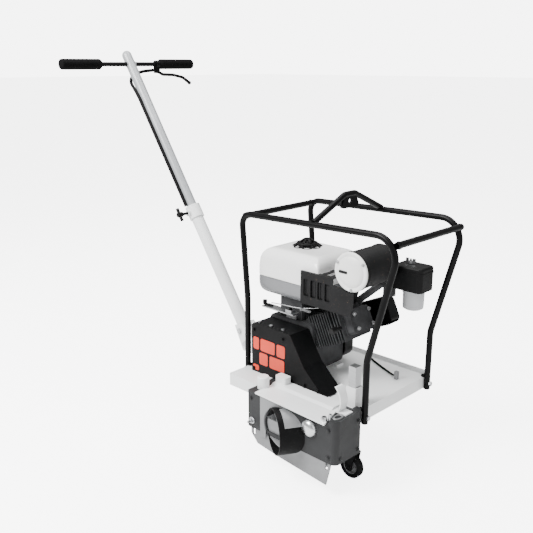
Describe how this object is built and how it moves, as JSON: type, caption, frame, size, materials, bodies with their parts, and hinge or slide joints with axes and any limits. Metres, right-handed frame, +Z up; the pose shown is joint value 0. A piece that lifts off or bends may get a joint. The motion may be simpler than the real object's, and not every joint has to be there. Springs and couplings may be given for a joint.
{
  "type": "walk-behind concrete saw",
  "caption": "Walk-behind concrete saw: engine in a tube cage on a wheeled deck, belt-driven blade in a side hood with a dust port and a telescoping T-handle.",
  "frame": {"origin": "on the ground under the middle of the whole machine", "axes": "+X the way the saw travels when it cuts, +Y the operator's left, +Z up"},
  "size_m": [1.3926, 0.6508, 1.2124],
  "materials": {
    "bright_steel": "machined",
    "guard_black": "satin",
    "hood_grey": "satin",
    "cast_alloy": "cast",
    "bowl_grey": "satin",
    "cable_black": "matte",
    "zinc_steel": "satin",
    "bright_knob": "turned",
    "white_paint": "satin",
    "belt_rubber": "matte",
    "port_black": "matte",
    "shroud_black": "satin",
    "cast_iron_grey": "cast",
    "grip_rubber": "matte",
    "black_plastic": "matte",
    "burnt_steel": "matte",
    "pale_disc": "satin",
    "light_steel": "satin",
    "wheel_rubber": "matte",
    "black_paint": "gloss",
    "blade_steel": "ground",
    "plug_cap": "matte",
    "tank_grey": "satin",
    "tank_white": "gloss",
    "grey_paint": "satin"
  },
  "bodies": {
    "chassis": {"air_cleaner": "black_plastic", "arbor_bearings": "bright_steel", "arbor_housing": "cast_iron_grey", "belt_guard": "guard_black", "blade_hood": "hood_grey", "carburetor": "cast_alloy", "clamp_collar": "white_paint", "cleaner_bowl": "bowl_grey", "control_plate": "zinc_steel", "cover_knob": "bright_knob", "crankcase": "cast_alloy", "cross_tubes": "black_paint", "cylinder_block": "cast_alloy", "deck_pan": "white_paint", "drive_belt": "belt_rubber", "dust_port": "port_black", "fan_shroud": "shroud_black", "frame_bolts": "bright_steel", "handle_yoke": "white_paint", "head_shelf": "white_paint", "hood_strap": "white_paint", "left_hoop": "black_paint", "lifting_bail": "black_paint", "lower_pole": "white_paint", "muffler_body": "burnt_steel", "muffler_end": "pale_disc", "muffler_guard": "burnt_steel", "port_strap": "light_steel", "rear_axle": "bright_steel", "recoil_cover": "shroud_black", "right_hoop": "black_paint", "rocker_cover": "cast_alloy", "spark_plug": "plug_cap", "tank_lower": "tank_grey", "tank_upper": "tank_white"},
    "crank": {"crankshaft": "bright_steel", "drive_pulley": "cast_iron_grey", "flywheel": "cast_iron_grey"},
    "arbor": {"arbor_shaft": "bright_steel", "driven_pulley": "cast_iron_grey", "saw_blade": "blade_steel", "arbor_nut": "bright_steel"},
    "rear_wheel_right": {"rear_wheel_right": "wheel_rubber"},
    "rear_wheel_left": {"rear_wheel_left": "wheel_rubber"},
    "front_leg": {"front_post": "black_paint", "front_fork": "black_paint"},
    "front_wheel": {"front_wheel": "wheel_rubber"},
    "skirt": {"skirt_plate": "light_steel"},
    "handle": {"upper_pole": "grey_paint", "t_bar": "black_paint", "hand_grips": "grip_rubber", "lever_bracket": "black_paint", "control_cable": "cable_black"},
    "hand_lever": {"hand_lever": "black_plastic"},
    "clamp_knob": {"clamp_knob": "black_plastic"},
    "fuel_cap": {"fuel_cap": "black_plastic"},
    "recoil_grip": {"recoil_grip": "black_plastic"},
    "throttle_lever": {"throttle_lever": "black_plastic"},
    "engine_switch": {"engine_switch": "black_plastic"},
    "wing_nut": {"wing_nut": "bright_steel"}
  },
  "joints": [
    {"name": "crank_spin", "type": "hinge", "parent": "chassis", "child": "crank", "pos_m": [0.26886, -0.1156, 0.335], "axis": [0, 1, 0], "continuous": true},
    {"name": "arbor_spin", "type": "hinge", "parent": "chassis", "child": "arbor", "pos_m": [0.49486, -0.2206, 0.135], "axis": [0, 1, 0], "continuous": true},
    {"name": "rear_right_spin", "type": "hinge", "parent": "chassis", "child": "rear_wheel_right", "pos_m": [0.23386, -0.1106, 0.065], "axis": [0, 1, 0], "continuous": true},
    {"name": "rear_left_spin", "type": "hinge", "parent": "chassis", "child": "rear_wheel_left", "pos_m": [0.23386, 0.1694, 0.065], "axis": [0, 1, 0], "continuous": true},
    {"name": "depth_slide", "type": "slide", "parent": "chassis", "child": "front_leg", "axis": [0, 0, 1], "range_m": [0, 0.095]},
    {"name": "front_wheel_spin", "type": "hinge", "parent": "front_leg", "child": "front_wheel", "pos_m": [0.56586, -0.1246, 0.0375], "axis": [0, 1, 0], "continuous": true},
    {"name": "skirt_slide", "type": "slide", "parent": "chassis", "child": "skirt", "axis": [0, 0, 1], "range_m": [0, 0.06]},
    {"name": "handle_slide", "type": "slide", "parent": "chassis", "child": "handle", "axis": [-0.565, 0, 0.8251], "range_m": [0, 0.1]},
    {"name": "lever_squeeze", "type": "hinge", "parent": "handle", "child": "hand_lever", "pos_m": [-0.65689, 0.1534, 1.13608], "axis": [1, 0, 0], "range_deg": [0, 10], "stiffness_Nm_per_rad": 0.6, "springref_deg": -28.65},
    {"name": "clamp_turn", "type": "hinge", "parent": "chassis", "child": "clamp_knob", "pos_m": [-0.30153, -0.0306, 0.64409], "axis": [0, -1, 0], "range_deg": [0, 360]},
    {"name": "cap_turn", "type": "hinge", "parent": "chassis", "child": "fuel_cap", "pos_m": [0.25886, 0.0144, 0.616], "axis": [0, 0, 1], "range_deg": [0, 90]},
    {"name": "recoil_pull", "type": "slide", "parent": "chassis", "child": "recoil_grip", "axis": [1, 0, 0], "range_m": [0, 0.25], "stiffness_N_per_m": 40, "springref_m": -0.2},
    {"name": "throttle_turn", "type": "hinge", "parent": "chassis", "child": "throttle_lever", "pos_m": [0.19686, -0.0826, 0.429], "axis": [0, 0, -1], "range_deg": [0, 50]},
    {"name": "switch_rock", "type": "hinge", "parent": "chassis", "child": "engine_switch", "pos_m": [0.27886, -0.0826, 0.436], "axis": [0, 1, 0], "range_deg": [0, 30]},
    {"name": "wing_nut_turn", "type": "hinge", "parent": "chassis", "child": "wing_nut", "pos_m": [0.58586, 0.0954, 0.612], "axis": [0, 0, 1], "range_deg": [0, 360]}
  ],
  "couplings": [
    {"joint": "arbor_spin", "follows": "crank_spin", "ratio": 1.2667}
  ]
}
